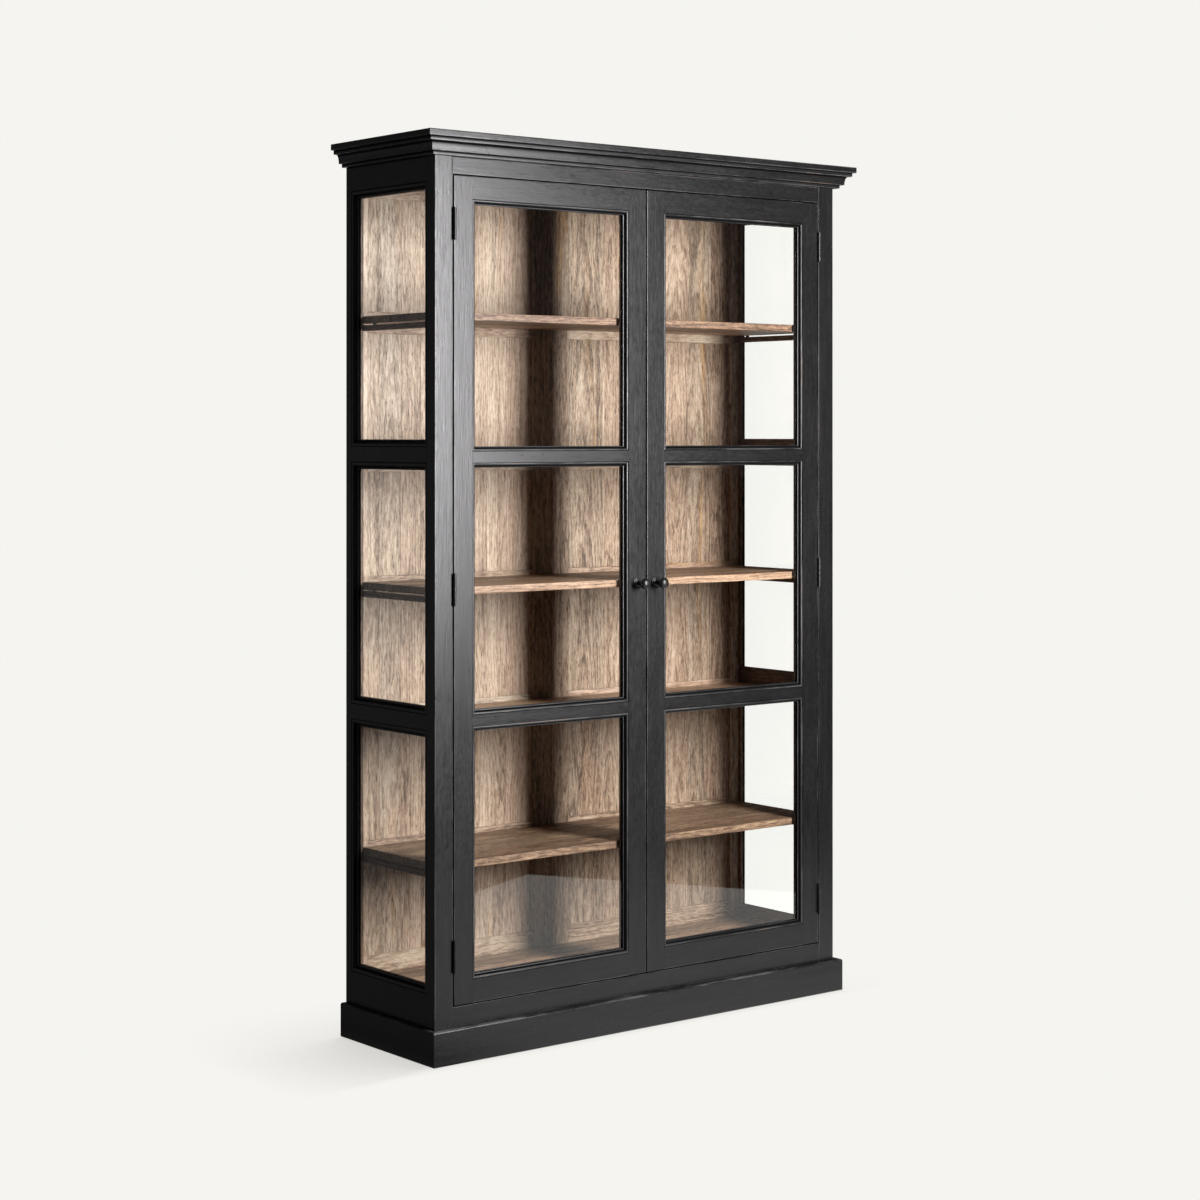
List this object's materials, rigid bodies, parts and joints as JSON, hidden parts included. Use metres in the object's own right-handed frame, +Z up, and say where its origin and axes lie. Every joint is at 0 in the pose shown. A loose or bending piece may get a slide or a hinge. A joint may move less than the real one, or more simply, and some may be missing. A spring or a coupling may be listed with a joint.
{
  "type": "display cabinet",
  "caption": "Tall black-painted wooden display cabinet with glazed double doors, glazed sides, plank back, wooden shelves, stepped cornice and plinth.",
  "frame": {"origin": "on the floor, at the middle of the bounding box in X and Y", "axes": "+Z up, -Y towards the viewer in front of the doors, +X to that viewer's right"},
  "size_m": [1.386, 0.428, 2.2],
  "materials": {
    "black_paint": "satin black paint over wood, rubbed through to brown wood along some edges",
    "case_wood": "dark brown oiled wood, matt",
    "shelf_wood": "natural oiled wood with lengthways grain, matt",
    "back_wood": "natural edge-glued planks of mixed tone, matt",
    "glass": "clear flat glass",
    "black_iron": "satin black iron",
    "zinc": "zinc plated",
    "catch_plastic": "matt dark brown"
  },
  "bodies": {
    "case": {"plinth_front": "black_paint", "plinth_left": "black_paint", "plinth_right": "black_paint", "plinth_back": "black_paint", "face_rail_top": "black_paint", "face_rail_bottom": "black_paint", "cornice_front": "black_paint", "cornice_left": "black_paint", "cornice_right": "black_paint", "cornice_cover": "black_paint", "side_frame_left": "black_paint", "side_frame_right": "black_paint", "top_board": "case_wood", "floor_board": "shelf_wood", "shelf_1": "shelf_wood", "shelf_2": "shelf_wood", "shelf_3": "shelf_wood", "shelf_4": "shelf_wood", "shelf_5": "shelf_wood", "cleat_left_1": "case_wood", "cleat_left_3": "case_wood", "cleat_left_5": "case_wood", "cleat_right_1": "case_wood", "cleat_right_3": "case_wood", "cleat_right_5": "case_wood", "back_battens": "back_wood", "back_planks_left": "back_wood", "back_planks_right": "back_wood", "side_glass_left_lower": "glass", "side_glass_left_middle": "glass", "side_glass_left_upper": "glass", "side_glass_right_lower": "glass", "side_glass_right_middle": "glass", "side_glass_right_upper": "glass", "hinge_left_lower_case_leaf": "black_iron", "hinge_left_middle_case_leaf": "black_iron", "hinge_left_upper_case_leaf": "black_iron", "hinge_right_lower_case_leaf": "black_iron", "hinge_right_middle_case_leaf": "black_iron", "hinge_right_upper_case_leaf": "black_iron", "catch_body_left": "catch_plastic", "catch_body_right": "catch_plastic"},
    "door_left": {"door_frame_left": "black_paint", "door_glass_left_lower": "glass", "door_glass_left_middle": "glass", "door_glass_left_upper": "glass", "knob_left": "black_iron", "hinge_left_lower_door_leaf": "black_iron", "hinge_left_middle_door_leaf": "black_iron", "hinge_left_upper_door_leaf": "black_iron", "catch_plate_left": "zinc"},
    "door_right": {"door_frame_right": "black_paint", "door_glass_right_lower": "glass", "door_glass_right_middle": "glass", "door_glass_right_upper": "glass", "knob_right": "black_iron", "hinge_right_lower_door_leaf": "black_iron", "hinge_right_middle_door_leaf": "black_iron", "hinge_right_upper_door_leaf": "black_iron", "catch_plate_right": "zinc"}
  },
  "joints": [
    {"name": "door_left_hinge", "type": "hinge", "parent": "case", "child": "door_left", "pos_m": [-0.59375, -0.1735, 1.118], "axis": [0, 0, 1], "range_deg": [-110, 0]},
    {"name": "door_right_hinge", "type": "hinge", "parent": "case", "child": "door_right", "pos_m": [0.59375, -0.1735, 1.118], "axis": [0, 0, 1], "range_deg": [0, 110]}
  ]
}
